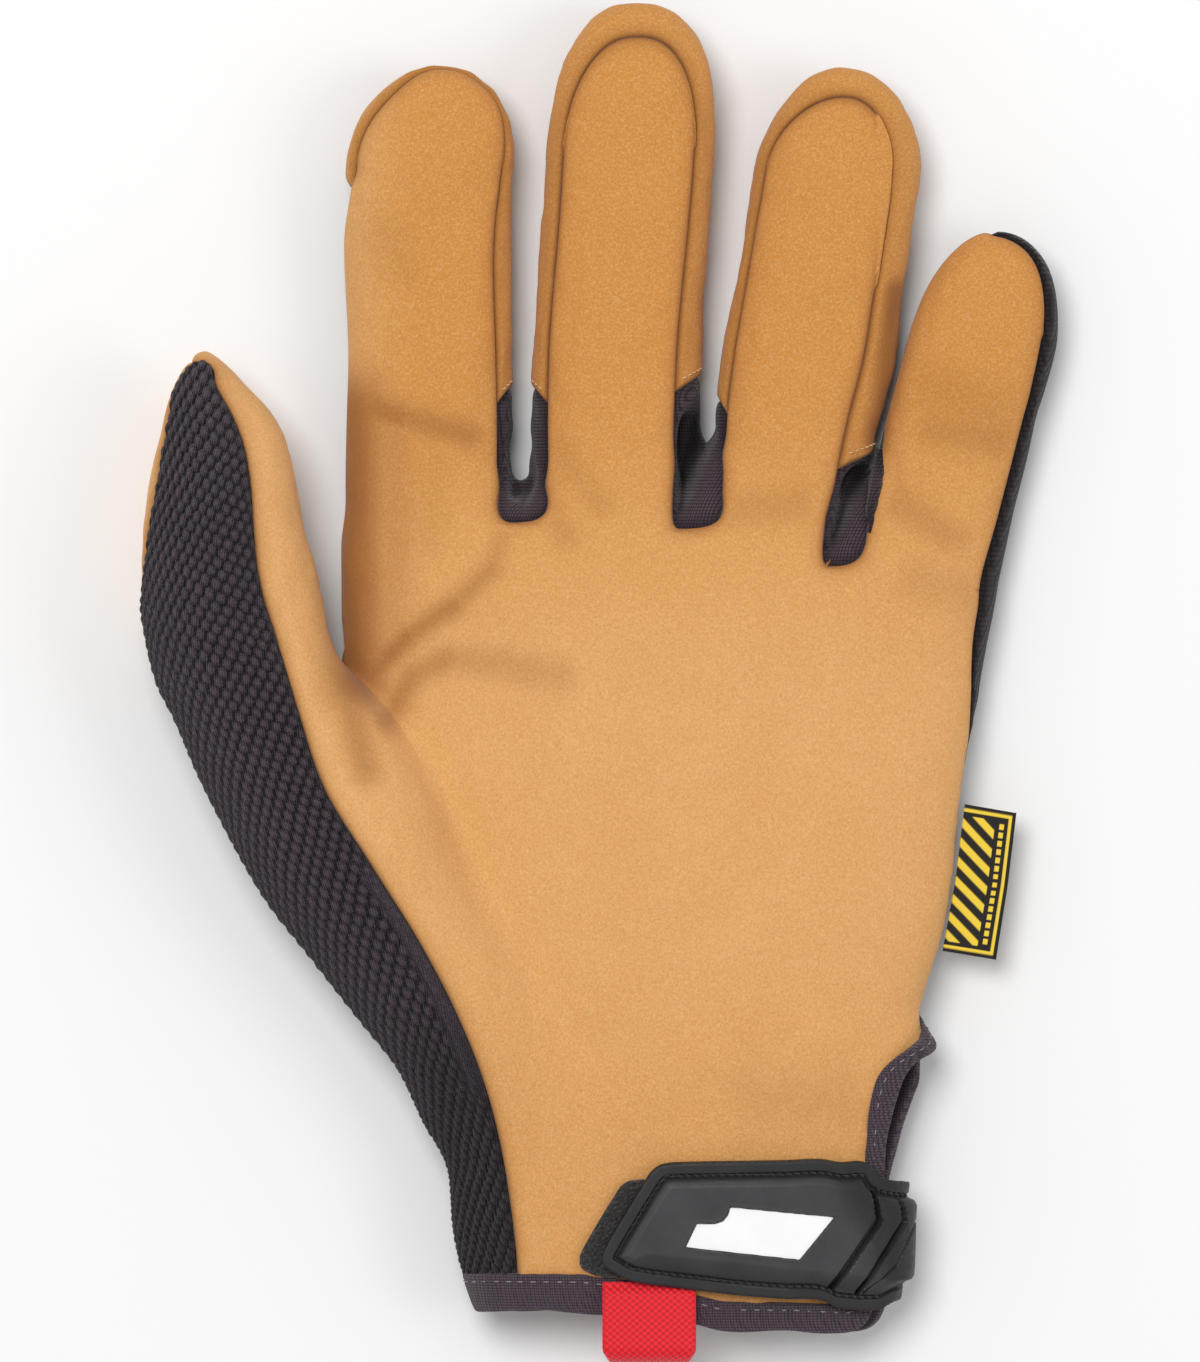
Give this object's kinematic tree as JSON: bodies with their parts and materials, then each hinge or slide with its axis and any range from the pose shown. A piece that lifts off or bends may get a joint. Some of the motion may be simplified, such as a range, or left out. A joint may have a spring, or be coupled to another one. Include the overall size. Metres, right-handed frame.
{
  "type": "mechanic glove",
  "caption": "Left-hand work glove lying palm up: hollow suede palm, knit back and thumb panel, knit finger gussets, rubber wrist strap, pull loop and side label.",
  "frame": {"origin": "middle of the glove's footprint, at the height that its back rests on", "axes": "+Y towards the fingertips, +Z out of the palm, -X towards the thumb"},
  "size_m": [0.1648, 0.2442, 0.0323],
  "materials": {
    "tan_leather": "sueded synthetic leather, napped",
    "back_knit": "close knit, matt",
    "waffle_knit": "charcoal waffle knit with raised honeycomb cells",
    "grey_knit": "fine stretch knit",
    "binding": "ribbed knit tape",
    "strap_rubber": "satin moulded rubber",
    "id_window": "smooth, satin",
    "hook_tape": "hook tape",
    "red_webbing": "woven webbing",
    "label_cloth": "woven label, black and yellow"
  },
  "bodies": {
    "root": {"palm_panel": "tan_leather", "back_panel": "back_knit", "index_band": "tan_leather", "middle_band": "tan_leather", "ring_band": "tan_leather", "gusset_index_middle": "grey_knit", "gusset_middle_ring": "grey_knit", "gusset_ring_little": "grey_knit", "thumb_knit_panel": "waffle_knit", "thumb_underside": "tan_leather", "cuff_tape": "binding", "closure_strap": "strap_rubber", "id_window": "id_window", "hook_patch": "hook_tape", "pull_loop": "red_webbing", "side_label": "label_cloth"}
  },
  "joints": []
}
